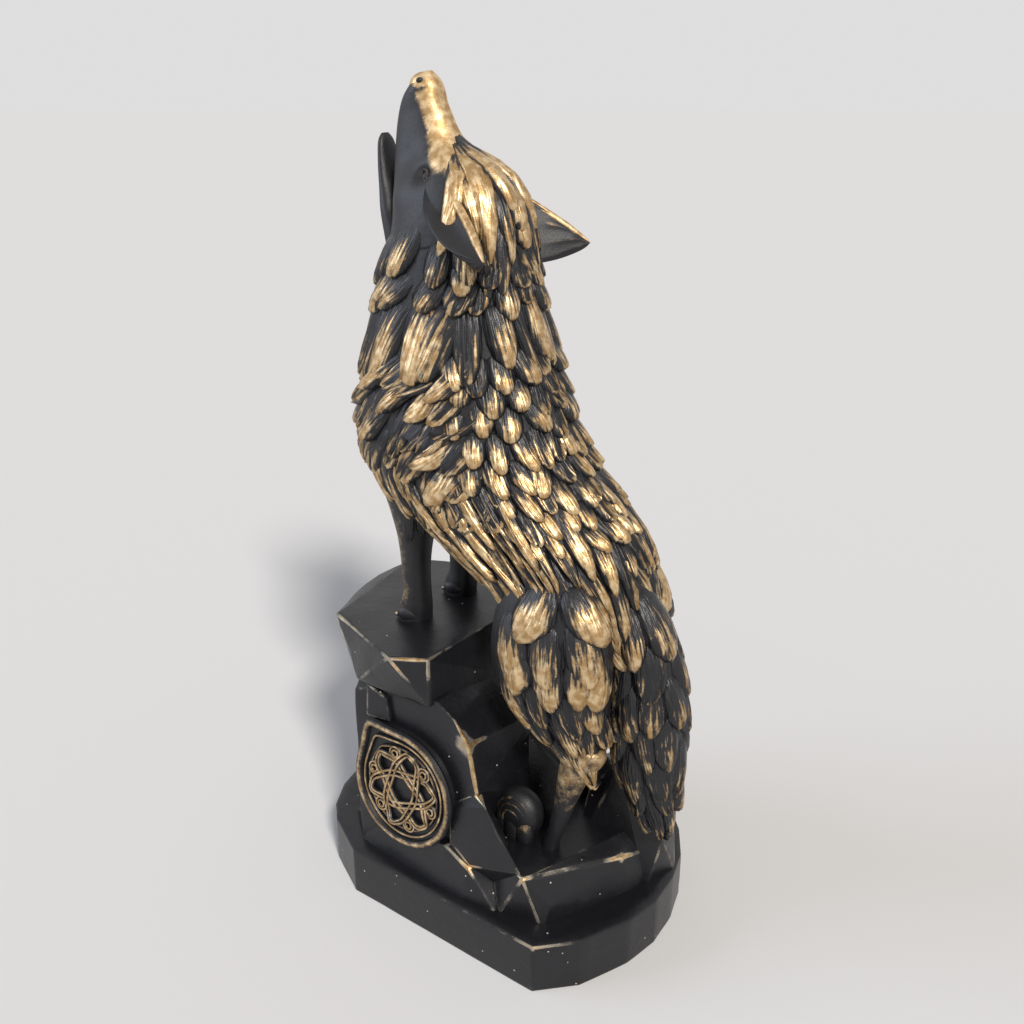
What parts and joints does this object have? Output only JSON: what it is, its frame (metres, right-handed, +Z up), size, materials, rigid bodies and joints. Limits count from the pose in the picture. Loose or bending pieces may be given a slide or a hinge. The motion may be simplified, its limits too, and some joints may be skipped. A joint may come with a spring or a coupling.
{
  "type": "wolf figurine",
  "caption": "Howling wolf with carved fur tufts standing on a stepped rock with a round knotwork medallion and a base plate.",
  "frame": {"origin": "middle of the base plate's flat underside", "axes": "+Z up; the wolf heads towards -X; its left side, with the medallion, faces -Y"},
  "size_m": [0.1112, 0.073, 0.2198],
  "materials": {
    "rubbed_paint": "satin near-black paint with gold rubbed on the raised edges"
  },
  "bodies": {
    "root": {"wolf_figurine": "rubbed_paint"}
  },
  "joints": []
}
